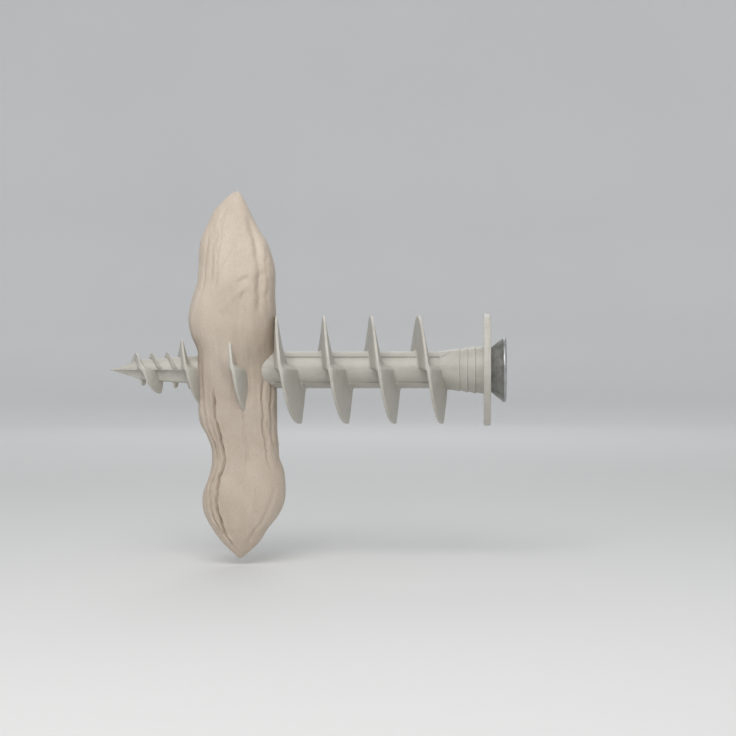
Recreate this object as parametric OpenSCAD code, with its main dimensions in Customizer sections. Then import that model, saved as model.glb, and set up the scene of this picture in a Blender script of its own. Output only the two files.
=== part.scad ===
// Spiral wall anchor with its fixing screw and the plug of set adhesive cast around its nose.
// The axis is X, +X points out of the wall, and the flange's outer face lies at x = 0.

/* [Anchor body] */
// Length from the flange's outer face to the drill point
anchor_length = 90; // [70:1:120]
// Radius of the flange
flange_r = 13.2; // [9:0.1:16]
// Thickness of the flange
flange_thick = 1.7; // [1:0.1:3]
// Depth at which the ringed collar meets the barrel
collar_depth = 12; // [8:0.5:16]
// Radius of the collar's last and largest ring
collar_r = 5.65; // [4.5:0.05:7]
// Growth of the rings' radius from each one to the next
ring_growth = 0.25; // [0:0.05:0.4]
// Radius of the collar's neck, which carries the flange
neck_r = 5.7; // [4.4:0.05:7]
// Step down in front of each ring of the collar
ring_step = 0.3; // [0.1:0.05:0.6]
// Distance from ring to ring
ring_pitch = 1.86; // [1:0.02:2.5]
// Depth of the ring nearest the flange
last_ring_depth = 3.6; // [2.5:0.02:5]
// Rings on the collar
ring_count = 3; // [1:1:5]
// Depth at which the barrel ends in its round shoulder
barrel_depth = 50.6; // [35:0.1:70]
// Radius of the barrel over its ribs, and of the shoulder
barrel_r = 4.37; // [4.1:0.01:6]
// Height of the two ribs over the barrel's round core
rib_height = 0.27; // [0.1:0.01:0.8]
// Height of each rib's ledge above the axis
ledge_z = 3.05; // [2:0.05:4]
// Length of the shoulder
shoulder_length = 5.7; // [3:0.1:9]

/* [Nose] */
// Radius of the nose behind its taper
nose_r = 3.35; // [2.5:0.05:4.3]
// Radius where the nose meets the drill point
tip_r = 2.4; // [1.5:0.05:3]
// Length of the drill point
point_length = 7.6; // [4:0.1:12]
// Length of the tapered stretch of the nose
taper_length = 12.9; // [8:0.1:20]
// Distance of each flute's floor from the axis, as a share of the nose's radius
flute_share = 0.62; // [0.5:0.01:0.9]
// Distance from the drill point to the end of the flutes
flute_length = 18.5; // [14:0.5:20]
// Radius of the adhesive channel and of its two outlets
channel_r = 1.3; // [0.8:0.05:1.8]

/* [Spiral] */
// Advance of the spiral in one turn
lead = 11.19; // [8:0.01:16]
// Flights along the anchor
flight_count = 7; // [4:1:9]
// Outer radius of the full flights
flight_r = 12.75; // [8:0.05:16]
// Outer radius of the first flight
first_r = 4; // [3:0.1:8]
// Depth of the top of the flight nearest the flange
last_flight_depth = 17.15; // [12:0.05:24]
// Full flights behind the growing ones
full_flights = 4; // [1:1:7]
// Angle before the top at which each flight starts
flight_start = -100; // [-150:5:0]
// Angle past the top at which each flight stops
flight_stop = 190; // [120:5:250]
// Thickness of a flight at its outer edge
edge_thick = 0.6; // [0.5:0.05:2]
// Thickness of a flight at its root, inside the body
root_thick = 1.9; // [0.8:0.05:3]
// Height of the two cutting ridges over the nose
ridge_height = 1.3; // [0.5:0.05:2]

/* [Screw] */
// Radius of the screw head's rim
head_r = 7.75; // [5:0.05:9]
// Height of the head over the flange when the screw is tight
head_height = 3.69; // [2:0.01:5]
// Half angle of the head's cone
head_angle = 40; // [35:0.5:50]
// Outer radius of the screw's thread
thread_r = 2.4; // [1.8:0.05:3]
// Root radius of the screw's thread
thread_root_r = 1.65; // [1:0.05:2.2]
// Advance of the screw in one turn
thread_pitch = 2.4; // [1:0.1:4]
// Length of the screw over everything
screw_length = 55; // [40:1:70]
// Radius across the lobes of the drive recess
drive_r = 2.5; // [1.5:0.05:3.2]
// Depth of the drive recess
drive_depth = 2.4; // [1:0.1:3]
// Running clearance between screw and anchor
clearance = 0.05; // [0.02:0.01:0.1]
// Distance across the flats of the hexagon the anchor is turned in with
hex_flats = 5.6; // [4.9:0.1:6]
// Depth of that hexagon
hex_depth = 10; // [6:0.5:12]

/* [Adhesive plug] */
// Height of the plug from foot to crown
plug_height = 86.6; // [40:0.5:120]
// Height of the plug's foot below the anchor's axis
plug_foot = 44.4; // [20:0.5:60]
// Depth of the plug's long axis behind the flange
plug_depth = 59.8; // [50:0.1:70]
// Reach of the plug behind and ahead of its long axis
plug_reach = 9.1; // [6:0.1:12]
// Half thickness of the plug just below the anchor
plug_thick = 6.8; // [5:0.1:9]

/* [Hidden] */

nylon = [0.70, 0.68, 0.64];
steel = [0.44, 0.45, 0.46];
adhesive = [0.80, 0.72, 0.63];
eps = 0.01;

// Depths of the section changes, as x positions
point_x = -anchor_length;
nose_x = point_x + point_length;
taper_x = nose_x + taper_length;
shoulder_x = -barrel_depth - shoulder_length;
barrel_x = -barrel_depth;
collar_x = -collar_depth;
flute_end_x = point_x + flute_length;

// Bore for the screw, which ends in a short cone, and the adhesive outlets under the plug's long axis
core_r = barrel_r - rib_height;
bore_r = thread_r + clearance;
bore_cone = 1.2;
bore_x = head_height - screw_length - bore_cone;
bore_end_x = bore_x - bore_cone;
outlet_x = -plug_depth;

// Screw: its point, its plain neck and the ends of its thread
screw_x = head_height - screw_length;
screw_point = 3.6;
plain_neck = 2;
neck_step = 0.8;
thread_gap = 0.6;
cone = tan(head_angle);
rim_height = 0.72;
rim_x = head_height - rim_height;
neck_x = rim_x - (head_r - thread_r) / cone;

// Flights: where they start inside the body as a share of its radius, how their rims grow from the
// point, the rounding of their two ends and the angle between two cross-sections
root_share = 0.45;
point_slope = 0.95;
growth_power = 1.2;
end_round = 0.8;
end_angle = 6;
section_step = 5;

// Ridges: half their width at the foot and at the crest, how deep they are set in, and their ends
ridge_foot = 0.6;
ridge_crest = 0.15;
ridge_sink = 0.25;
ridge_end_angle = 12;

// Plug: the squareness of its rings away from the anchor and at it, and the height of that waist
plug_square = 2.3;
waist_square = 1.5;
waist_height = 8;

function lerp(a, b, t) = a + (b - a) * t;
function clamp(t) = max(0, min(1, t));

// A point at distance r from the axis, at angle a from the top over the near side
function around(x, r, a) = [x, -r * sin(a), r * cos(a)];

// Radius of the nose and the drill point
function nose_radius(x) =
    x < nose_x ? max(0.05, tip_r * (x - point_x) / point_length)
    : lerp(tip_r, nose_r, clamp((x - nose_x) / taper_length));

// Radius from which the flights rise, well inside the nose and the barrel
function root_radius(x) = root_share * nose_radius(x);

// Top of each flight, counted from the flange
function flight_x(i) = -last_flight_depth - lead * (i - 1);

// Outer radius of the flights, growing from the point to the full flights
growth_x = flight_x(flight_count);
growth_length = flight_x(full_flights) - growth_x;

function flight_radius(x) =
    x < growth_x
    ? max(nose_radius(x) + 0.1, first_r + point_slope * (x - growth_x))
    : lerp(first_r, flight_r, 1 - pow(1 - clamp((x - growth_x) / growth_length), growth_power));

// Turns a profile of [radius, x] points about the anchor's axis
module turned(points) {
    rotate([0, 90, 0])
        rotate_extrude($fn = 96)
            polygon(points);
}

module rod(r, x1, x2) {
    translate([x1, 0, 0])
        rotate([0, 90, 0])
            cylinder(r = r, h = x2 - x1, $fn = 96);
}

module cone_rod(r1, r2, x1, x2) {
    translate([x1, 0, 0])
        rotate([0, 90, 0])
            cylinder(r1 = r1, r2 = r2, h = x2 - x1, $fn = 96);
}

// A closed skin over equal rings, each with an even number of points that run up one side and down the other
module skin(rings) {
    n = len(rings[0]);
    m = len(rings);
    points = [for (ring = rings) for (p = ring) p];
    sides = [
        for (j = [0 : m - 2], k = [0 : n - 1])
            let (a = j * n + k, b = j * n + (k + 1) % n)
            for (tri = [[a, b, b + n], [a, b + n, a + n]])
                tri
    ];
    cap = [
        for (k = [0 : n / 2 - 2])
            for (tri = [[k, k + 1, n - 1 - k], [k + 1, n - 2 - k, n - 1 - k]])
                tri
    ];
    first = [for (t = cap) [t[2], t[1], t[0]]];
    last = [for (t = cap) [for (k = t) (m - 1) * n + k]];
    polyhedron(points = points, faces = concat(sides, first, last), convexity = 10);
}

// Seat of the screw head, the hexagon behind it and the screw's bore
module screw_bore() {
    mouth_r = thread_r - neck_x * cone + clearance;
    cone_rod(bore_r, mouth_r + eps * cone, neck_x - eps, eps);
    rod(bore_r, bore_x, neck_x);
    cone_rod(channel_r, bore_r, bore_end_x, bore_x);
    translate([-hex_depth, 0, 0])
        rotate([0, 90, 0])
            cylinder(d = hex_flats / cos(30), h = hex_depth - flange_thick, $fn = 6);
}

// Channel through the nose, with an outlet up and an outlet down
module adhesive_channel() {
    rod(channel_r, outlet_x - channel_r, bore_end_x);
    translate([outlet_x, 0, -nose_r - 1])
        cylinder(r = channel_r, h = 2 * nose_r + 2, $fn = 48);
}

// Cutters for the two straight flutes, below the axis on the near side and above it on the far side
module flutes() {
    floor_y = flute_share * tip_r;
    end_y = flute_share * nose_radius(flute_end_x);
    for (side = [0, 180])
        rotate([side, 0, 0])
            translate([0, 0, -nose_r - 3])
                linear_extrude(height = nose_r + 3)
                    polygon([
                        [point_x - 1, 0.05],
                        [point_x, 0],
                        [nose_x, -floor_y],
                        [flute_end_x, -end_y],
                        [flute_end_x, -nose_r - 3],
                        [point_x - 1, -nose_r - 3]
                    ]);
}

module rib(sign) {
    intersection() {
        difference() {
            rod(barrel_r, barrel_x, collar_x);
            rod(core_r, barrel_x - eps, collar_x + eps);
        }
        translate([barrel_x - 1, -barrel_r, sign > 0 ? ledge_z : -ledge_z - barrel_r])
            cube([barrel_depth, 2 * barrel_r, barrel_r]);
    }
}

// The moulding's outer form without its spiral
module body_form() {
    difference() {
        turned([
            [0, point_x],
            [0.12, point_x],
            [tip_r, nose_x],
            [nose_r, taper_x],
            [nose_r, shoulder_x],
            [0, shoulder_x]
        ]);
        flutes();
    }
    rod(core_r, shoulder_x, collar_x);
    rib(1);
    rib(-1);
    shoulder_form();
    collar_form();
}

module shoulder_form() {
    round_in = 2.4;
    turned(concat(
        [[0, shoulder_x]],
        [
            for (a = [0 : 15 : 90])
                [
                    lerp(nose_r, barrel_r, sin(a)),
                    shoulder_x + round_in * (1 - cos(a))
                ]
        ],
        [[barrel_r, barrel_x], [0, barrel_x]]
    ));
}

// Cone with saw-tooth rings, then the neck that carries the flange
module collar_form() {
    rings = [
        for (k = [0 : ring_count - 1])
            let (
                r = collar_r - ring_growth * (ring_count - 1 - k),
                x = -last_ring_depth - ring_pitch * (ring_count - 1 - k)
            )
            for (p = [[r, x], [r - ring_step, x]])
                p
    ];
    turned(concat(
        [[0, collar_x], [barrel_r, collar_x]],
        rings,
        [[neck_r, -flange_thick], [neck_r, 0], [0, 0]]
    ));
}

// The mould parts at z = 0. Where a flight's face would lean over on its way down to that plane, or
// up to it, the moulding is filled straight along Z. These are the angles whose place along the axis
// the face towards the point and the face towards the flange take, at angle a and share s of the rim.
function back_angle(a, s) =
    max(
        flight_start,
        a < -90 ? asin(s * sin(a + 180)) - 180
        : a >= 0 && a <= 90 ? asin(s * sin(a))
        : a > 180 ? asin(s * sin(a - 180)) + 180
        : a
    );
function front_angle(a, s) =
    min(
        flight_stop,
        a > -90 && a < 0 ? -asin(s * sin(-a))
        : a >= 90 && a < 180 ? 180 - asin(s * sin(180 - a))
        : a
    );

// Cross-section of a flight at angle a, eased in at both ends
function flight_section(top_x, a) =
    let (
        x = top_x + lead * a / 360,
        inner = max(0.1, root_radius(x)),
        ease = clamp(min(a - flight_start, flight_stop - a) / end_angle),
        outer = max(inner + 0.2, flight_radius(x) - end_round * (1 - sqrt(1 - pow(1 - ease, 2)))),
        rise = [0, 0.4, 0.75, 1]
    )
    concat(
        [for (t = rise) flank_point(top_x, a, inner, outer, t, -1)],
        [for (k = [3 : -1 : 0]) flank_point(top_x, a, inner, outer, rise[k], 1)]
    );

// Point of a flight's face towards the point (side -1) or the flange (side 1), at share t of its height
function flank_point(top_x, a, inner, outer, t, side) =
    let (
        r = lerp(inner, outer, t),
        s = min(1, r / outer),
        face = side < 0 ? back_angle(a, s) : front_angle(a, s)
    )
    around(top_x + lead * face / 360 + side * lerp(root_thick, edge_thick, t) / 2, r, a);

module flight(i) {
    turn = flight_stop - flight_start;
    count = ceil(turn / section_step);
    difference() {
        skin([
            for (j = [0 : count])
                flight_section(flight_x(i), flight_start + turn * j / count)
        ]);
        body_form();
    }
}

// Cross-section at angle a of a low ridge on the nose that runs from a1 to a2, eased in at both ends
function ridge_section(top_x, a, a1, a2) =
    let (
        x = top_x + lead * a / 360,
        surface = nose_radius(x),
        foot = max(0.1, surface - ridge_sink),
        crest = surface + 0.05 + ridge_height * clamp(min(a - a1, a2 - a) / ridge_end_angle)
    )
    [
        around(x - ridge_foot, foot, a),
        around(x + ridge_foot, foot, a),
        around(x + ridge_crest, crest, a),
        around(x - ridge_crest, crest, a)
    ];

// A ridge over the top half of the nose, with a short stub at the bottom at each place given in stubs
module ridge(top_x, stubs) {
    spans = concat([[-90, 90]], [for (a = stubs) [a - 18, a + 18]]);
    difference() {
        for (span = spans)
            let (count = ceil((span[1] - span[0]) / 6))
                skin([
                    for (j = [0 : count])
                        ridge_section(top_x, lerp(span[0], span[1], j / count), span[0], span[1])
                ]);
        body_form();
        flutes();
    }
}

// Parts of the moulding
module flange_plate() {
    color(nylon)
        difference() {
            turned([
                [0, -flange_thick],
                [flange_r - 0.25, -flange_thick],
                [flange_r, -flange_thick + 0.25],
                [flange_r, -0.25],
                [flange_r - 0.25, 0],
                [0, 0]
            ]);
            rod(neck_r, -flange_thick - 1, 1);
        }
}

module ringed_collar() {
    color(nylon)
        difference() {
            collar_form();
            screw_bore();
        }
}

module barrel_core() {
    color(nylon)
        difference() {
            rod(core_r, barrel_x, collar_x);
            screw_bore();
        }
}

module barrel_rib_upper() {
    color(nylon)
        rib(1);
}

module barrel_rib_lower() {
    color(nylon)
        rib(-1);
}

module barrel_shoulder() {
    color(nylon)
        difference() {
            shoulder_form();
            screw_bore();
            adhesive_channel();
        }
}

module nose_barrel() {
    color(nylon)
        difference() {
            turned([
                [0, nose_x],
                [tip_r, nose_x],
                [nose_r, taper_x],
                [nose_r, shoulder_x],
                [0, shoulder_x]
            ]);
            adhesive_channel();
            flutes();
        }
}

module drill_point() {
    color(nylon)
        difference() {
            turned([
                [0, point_x],
                [0.12, point_x],
                [tip_r, nose_x],
                [0, nose_x]
            ]);
            flutes();
        }
}

module flight_1() {
    color(nylon)
        flight(1);
}

module flight_2() {
    color(nylon)
        flight(2);
}

module flight_3() {
    color(nylon)
        flight(3);
}

module flight_4() {
    color(nylon)
        flight(4);
}

module flight_5() {
    color(nylon)
        flight(5);
}

module flight_6() {
    color(nylon)
        flight(6);
}

module flight_7() {
    color(nylon)
        flight(7);
}

module cutting_ridge_1() {
    color(nylon)
        ridge(growth_x + 0.37 * lead, [180]);
}

module cutting_ridge_2() {
    color(nylon)
        ridge(growth_x + 0.69 * lead, [-180, 180]);
}

// The screw
module screw_head() {
    bevel = 0.35;
    color(steel)
        difference() {
            turned([
                [0, neck_x],
                [thread_r, neck_x],
                [head_r - 0.1, rim_x - 0.1 / cone],
                [head_r, rim_x + 0.1],
                [head_r - 0.06, head_height - bevel * 0.6],
                [head_r - 0.2, head_height - bevel * 0.25],
                [head_r - 0.45, head_height],
                [0, head_height]
            ]);
            translate([head_height - drive_depth, 0, 0])
                rotate([0, 90, 0])
                    six_lobes(drive_depth + 1);
        }
}

module six_lobes(h) {
    lobe_r = drive_r * 0.24;
    cylinder(r = drive_r * 0.82, h = h, $fn = 48);
    for (k = [0 : 5])
        rotate([0, 0, 60 * k])
            translate([drive_r - lobe_r, 0, 0])
                cylinder(r = lobe_r, h = h, $fn = 24);
}

module screw_shank() {
    plain_x = neck_x - plain_neck;
    color(steel)
        turned([
            [0, screw_x],
            [0.1, screw_x],
            [thread_root_r, screw_x + screw_point],
            [thread_root_r, plain_x - neck_step],
            [thread_r, plain_x],
            [thread_r, neck_x],
            [0, neck_x]
        ]);
}

function thread_section(x1, turns, t) =
    let (
        a = 360 * turns * t,
        x = x1 + thread_pitch * turns * t,
        ease = clamp(min(t * turns, (1 - t) * turns) * 1.5),
        crest = lerp(thread_root_r + 0.05, thread_r, ease)
    )
    [
        around(x - 0.5, thread_root_r - 0.02, a),
        around(x + 0.5, thread_root_r - 0.02, a),
        around(x + 0.09, crest, a),
        around(x - 0.09, crest, a)
    ];

module screw_thread() {
    x1 = screw_x + screw_point + thread_gap;
    x2 = neck_x - plain_neck - 2 * neck_step;
    turns = floor((x2 - x1) / thread_pitch);
    count = turns * 24;
    color(steel)
        difference() {
            skin([
                for (j = [0 : count])
                    thread_section(x1, turns, j / count)
            ]);
            rod(thread_root_r, x1 - 1, neck_x);
        }
}

// Plug outline: share of the height, reach towards the point, reach towards the flange, thickness
plug_form = [
    [0.000, 0.02, 0.02, 0.05],
    [0.035, 0.34, 0.48, 0.42],
    [0.085, 0.67, 0.83, 0.68],
    [0.155, 0.91, 1.19, 0.88],
    [0.210, 0.80, 1.21, 0.92],
    [0.275, 0.67, 1.06, 0.90],
    [0.340, 0.84, 1.00, 0.93],
    [0.400, 1.00, 1.00, 0.98],
    [0.510, 1.00, 1.00, 1.12],
    [0.580, 1.08, 0.98, 1.28],
    [0.620, 1.22, 0.97, 1.31],
    [0.665, 1.25, 0.96, 1.25],
    [0.760, 1.02, 0.96, 1.06],
    [0.840, 0.98, 0.82, 0.92],
    [0.905, 0.78, 0.47, 0.72],
    [0.960, 0.45, 0.20, 0.45],
    [1.000, 0.02, 0.02, 0.05]
];

// Smooth value of column c of the outline at share s
function form_row(s, k = 0) = k >= len(plug_form) - 2 || plug_form[k + 1][0] >= s ? k : form_row(s, k + 1);
function form_value(k, c) = plug_form[max(0, min(len(plug_form) - 1, k))][c];
function form_slope(k, c) =
    (form_value(k + 1, c) - form_value(k - 1, c))
    / max(0.001, form_value(k + 1, 0) - form_value(k - 1, 0));

function plug_value(s, c) =
    let (
        k = form_row(s),
        w = form_value(k + 1, 0) - form_value(k, 0),
        t = (s - form_value(k, 0)) / w,
        t2 = t * t,
        t3 = t2 * t
    )
    (2 * t3 - 3 * t2 + 1) * form_value(k, c)
    + (t3 - 2 * t2 + t) * w * form_slope(k, c)
    + (3 * t2 - 2 * t3) * form_value(k + 1, c)
    + (t3 - t2) * w * form_slope(k + 1, c);

function signed_pow(v, e) = (v < 0 ? -1 : 1) * pow(abs(v), e);

// One level ring of the plug, thinner at its edges where the anchor passes through
function plug_ring(s) =
    let (
        z = plug_height * s - plug_foot,
        back = max(0.15, plug_reach * plug_value(s, 1)),
        front = max(0.15, plug_reach * plug_value(s, 2)),
        thick = max(0.15, plug_thick * plug_value(s, 3)),
        waist = exp(-pow(z / waist_height, 2)),
        power = 2 / lerp(plug_square, waist_square, waist)
    )
    [
        for (k = [0 : 43])
            let (
                a = 360 * k / 44,
                reach = cos(a) < 0 ? back : front
            )
            [
                -plug_depth + reach * signed_pow(cos(a), power),
                thick * signed_pow(sin(a), power),
                z
            ]
    ];

module plug_loft() {
    levels = 44;
    skin([
        for (j = [0 : levels])
            plug_ring(0.5 - 0.5 * cos(180 * j / levels))
    ]);
}

module adhesive_plug() {
    color(adhesive)
        difference() {
            plug_loft();
            difference() {
                body_form();
                adhesive_channel();
            }
            rod(bore_r, bore_end_x, barrel_x + 5);
        }
}

flange_plate();
ringed_collar();
barrel_core();
barrel_rib_upper();
barrel_rib_lower();
barrel_shoulder();
nose_barrel();
drill_point();
flight_1();
flight_2();
flight_3();
flight_4();
flight_5();
flight_6();
flight_7();
cutting_ridge_1();
cutting_ridge_2();
screw_head();
screw_shank();
screw_thread();
adhesive_plug();
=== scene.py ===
"""Looks of the spiral wall anchor: its moulding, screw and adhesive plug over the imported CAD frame."""

import math

import bmesh
import bpy
import numpy as np
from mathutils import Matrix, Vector


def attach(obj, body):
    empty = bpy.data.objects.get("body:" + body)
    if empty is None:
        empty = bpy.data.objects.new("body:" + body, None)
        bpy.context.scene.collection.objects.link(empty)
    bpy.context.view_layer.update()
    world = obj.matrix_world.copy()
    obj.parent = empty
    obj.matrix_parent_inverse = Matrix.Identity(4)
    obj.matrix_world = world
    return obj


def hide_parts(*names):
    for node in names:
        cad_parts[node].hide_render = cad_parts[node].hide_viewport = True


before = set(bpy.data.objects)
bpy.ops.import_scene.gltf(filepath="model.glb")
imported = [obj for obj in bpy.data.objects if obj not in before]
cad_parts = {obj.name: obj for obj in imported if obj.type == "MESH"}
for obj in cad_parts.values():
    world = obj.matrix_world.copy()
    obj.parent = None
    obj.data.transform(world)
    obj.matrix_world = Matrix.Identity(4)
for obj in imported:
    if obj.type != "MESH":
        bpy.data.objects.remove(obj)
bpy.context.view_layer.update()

MM = 0.001

# Driving sizes of the anchor in mm, the same ones the CAD is built from. +X points out of the wall.
LENGTH = 90.0
FLANGE_R, FLANGE_T = 13.2, 1.7
COLLAR_X, BARREL_X, SHOULDER_X = -12.0, -50.6, -56.3
NOSE_X, TAPER_X, FLUTE_END_X = -82.4, -69.5, -71.5
NECK_R, BARREL_R, CORE_R, LEDGE_Z = 5.7, 4.37, 4.1, 3.05
NOSE_R, TIP_R, FLUTE_SHARE = 3.35, 2.4, 0.62
CHANNEL_R, OUTLET_X = 1.3, -59.8
RING_R, RING_X, RING_GROWTH, RING_STEP = 5.65, -3.6, 0.25, 1.86
DOME_L, BORE_END_X, FUNNEL_X = 2.4, -52.51, -53.71
LEAD, FLIGHTS, LAST_X = 11.19, 7, -17.15
FLIGHT_R, FIRST_R = 12.75, 3.8
A_START, A_STOP = -100.0, 190.0
HEAD_R, HEAD_X, CONE = 7.75, 3.69, math.tan(math.radians(40))
THREAD_R, ROOT_R, PITCH = 2.4, 1.65, 2.4
LOBE_R, LOBE_AT, DRIVE_R = 0.6, 1.9, 2.05
SCREW_X = HEAD_X - 55.0
BORE_R = THREAD_R + 0.05
RIM_X = HEAD_X - 0.72
HEXAGON_R, HEXAGON_X = 2.8, -10.0
NECK_X = RIM_X - (HEAD_R - THREAD_R) / CONE
PLUG_X = -59.8


def around(x, r, a):
    """A point at distance r from the axis, at angle a in degrees from the top over the near side."""
    t = math.radians(a)
    return (x, -r * math.sin(t), r * math.cos(t))


def mix(a, b, t):
    return a + (b - a) * t


def clamp(t):
    return min(1.0, max(0.0, t))


def smooth(t):
    t = clamp(t)
    return t * t * (3 - 2 * t)


# ---------------------------------------------------------------- mesh tools


def finish_mesh(name, verts, faces, angle=35.0):
    """A closed, outward-facing mesh object from points in mm."""
    mesh = bpy.data.meshes.new(name)
    mesh.from_pydata([tuple(c * MM for c in v) for v in verts], [], faces)
    bm = bmesh.new()
    bm.from_mesh(mesh)
    bmesh.ops.recalc_face_normals(bm, faces=bm.faces)
    bm.to_mesh(mesh)
    bm.free()
    mesh.shade_smooth()
    mesh.set_sharp_from_angle(angle=math.radians(angle))
    obj = bpy.data.objects.new(name, mesh)
    bpy.context.scene.collection.objects.link(obj)
    return obj


def loft_faces(m, n, start=0, wrap=False, caps=True):
    """Faces over m rings of n points each; wrap joins the last ring to the first."""
    faces = []
    for j in range(m if wrap else m - 1):
        a, b = start + j * n, start + ((j + 1) % m) * n
        for k in range(n):
            k2 = (k + 1) % n
            faces.append((a + k, a + k2, b + k2, b + k))
    if caps and not wrap:
        faces.append(tuple(start + k for k in range(n))[::-1])
        faces.append(tuple(start + (m - 1) * n + k for k in range(n)))
    return faces


def loft(name, islands, angle=35.0, wrap=False, fan=False):
    """One object from one or more islands, each a list of equal rings of points.

    fan closes each end with triangles to its middle, which suits round ends of many points.
    """
    verts, faces = [], []
    for rings in islands:
        start, n = len(verts), len(rings[0])
        faces += loft_faces(len(rings), n, start, wrap, not fan)
        for ring in rings:
            verts += ring
        if fan:
            for ring, first in ((rings[0], start), (rings[-1], start + (len(rings) - 1) * n)):
                faces += [(len(verts), first + k, first + (k + 1) % n) for k in range(n)]
                verts.append(tuple(np.mean(ring, axis=0)))
    return finish_mesh(name, verts, faces, angle)


def rounded(points, radius, arc=5):
    """A closed profile of (r, x) points with each corner rounded.

    A point's third value, if it has one, is its own radius.
    """
    out, n = [], len(points)
    for i in range(n):
        p = np.array(points[i][:2], float)
        r = points[i][2] if len(points[i]) > 2 else radius
        a = np.array(points[i - 1][:2], float) - p
        b = np.array(points[(i + 1) % n][:2], float) - p
        la, lb = np.linalg.norm(a), np.linalg.norm(b)
        if r <= 0 or la < 1e-6 or lb < 1e-6:
            out.append(tuple(p))
            continue
        a, b = a / la, b / lb
        half = math.acos(max(-1.0, min(1.0, float(a @ b)))) / 2
        cut = min(r / max(1e-6, math.tan(half)), 0.45 * la, 0.45 * lb)
        r = cut * math.tan(half)
        centre = p + (a + b) / max(1e-9, np.linalg.norm(a + b)) * (r / math.sin(half))
        v0, v1 = p + a * cut - centre, p + b * cut - centre
        for t in np.linspace(0, 1, arc + 1):
            v = v0 * (1 - t) + v1 * t
            v = v / max(1e-9, np.linalg.norm(v)) * r
            out.append(tuple(centre + v))
    return out


def densify(points, step):
    """The closed profile with no stretch longer than step."""
    out = []
    for i, p in enumerate(points):
        q = points[(i + 1) % len(points)]
        d = math.dist(p, q)
        k = max(1, math.ceil(d / step))
        out += [(mix(p[0], q[0], t / k), mix(p[1], q[1], t / k)) for t in range(k)]
    return out


def lathe(name, profile, seg=144, angle=35.0):
    """A ring turned about the axis from a closed profile of (r, x) that stays off the axis."""
    rings = [[around(x, r, 360 * j / seg) for r, x in profile] for j in range(seg)]
    return loft(name, [rings], angle, wrap=True)


def spindle(name, profile, seg=144, angle=35.0):
    """A solid turned about the axis from an open profile of (r, x) that starts and ends on it."""
    rings = [[around(x, r, 360 * j / seg) for j in range(seg)] for r, x in profile[1:-1]]
    verts = [p for ring in rings for p in ring]
    faces = loft_faces(len(rings), seg, caps=False)
    first, last = len(verts), len(verts) + 1
    verts += [around(profile[0][1], 0, 0), around(profile[-1][1], 0, 0)]
    base = (len(rings) - 1) * seg
    for j in range(seg):
        k = (j + 1) % seg
        faces.append((first, k, j))
        faces.append((last, base + j, base + k))
    return finish_mesh(name, verts, faces, angle)


# ---------------------------------------------------------------- the moulding's form


def nose_radius(x):
    if x < NOSE_X:
        blunt = 0.22 * math.sqrt(clamp((x + LENGTH) / 0.22))
        return max(0.03, blunt, TIP_R * (x + LENGTH) / (NOSE_X + LENGTH))
    return mix(TIP_R, NOSE_R, clamp((x - NOSE_X) / (TAPER_X - NOSE_X)))


def shoulder_radius(x):
    t = clamp((x - SHOULDER_X) / DOME_L)
    return mix(NOSE_R, BARREL_R, math.sqrt(1 - (1 - t) ** 2))


def rib_radius(a):
    """Radius of the barrel with its two ribs at angle a."""
    c = abs(math.cos(math.radians(a)))
    return BARREL_R if c * BARREL_R > LEDGE_Z + 0.1 else CORE_R


def form_radius(x, a):
    if x < SHOULDER_X:
        return nose_radius(x)
    if x < BARREL_X:
        return shoulder_radius(x)
    if x < COLLAR_X:
        return rib_radius(a)
    return mix(BARREL_R, 5.15, clamp((x - COLLAR_X) / 4.68))


def flute_floor(x):
    """Distance of the flutes' floors from the axis, about half way down them."""
    if x < NOSE_X:
        return FLUTE_SHARE * TIP_R * (x + LENGTH) / (NOSE_X + LENGTH)
    return FLUTE_SHARE * nose_radius(x)


def fluted_radius(x, a):
    """Nose radius at angle a, cut by the two flutes: below the axis near, above it far."""
    r = nose_radius(x)
    t = a % 180
    if 90 < t < 180 and x < FLUTE_END_X:
        # The floor leans in a little towards its lower edge, and more so on the drill point
        s, c = math.sin(math.radians(t)), -math.cos(math.radians(t))
        lean = mix(0.55, 0.27, smooth((x - NOSE_X + 3) / 5))
        return min(r, 1.13 * flute_floor(x) / (s + lean * c))
    return r


def nose_piece(name, x1, x2, bore_from=None):
    """A stretch of the fluted nose, solid at its front and hollow behind bore_from."""
    angles = []
    for base in (0, 180):
        angles += [base + a for a in np.linspace(0, 88, 32)]
        angles += [base + a for a in (89.2, 89.8, 90.0, 90.06, 90.6)]
        angles += [base + a for a in np.linspace(92, 178, 44)]
    xs = sorted(
        set(np.round(np.linspace(x1, x2, max(12, int((x2 - x1) / 0.3))), 4))
        | {x1, x2}
        | {x for x in (FLUTE_END_X - 0.02, FLUTE_END_X + 0.02, TAPER_X) if x1 < x < x2}
    )
    rings = [[around(x, max(0.05, fluted_radius(x, a)), a) for a in angles] for x in xs]
    if bore_from is not None:
        rings += [[around(x2, CHANNEL_R, a) for a in angles]]
        rings += [[around(bore_from, CHANNEL_R, a) for a in angles]]
    return loft(name, [rings], 30, fan=True)


def flight_x(i):
    return LAST_X - LEAD * (i - 1)


GROWTH_X = flight_x(FLIGHTS)
GROWTH_L = flight_x(4) - GROWTH_X


def flight_radius(x):
    if x < GROWTH_X:
        return max(nose_radius(x) + 0.1, FIRST_R + 0.95 * (x - GROWTH_X))
    return mix(FIRST_R, FLIGHT_R, 1 - (1 - clamp((x - GROWTH_X) / GROWTH_L)) ** 1.2)


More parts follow.
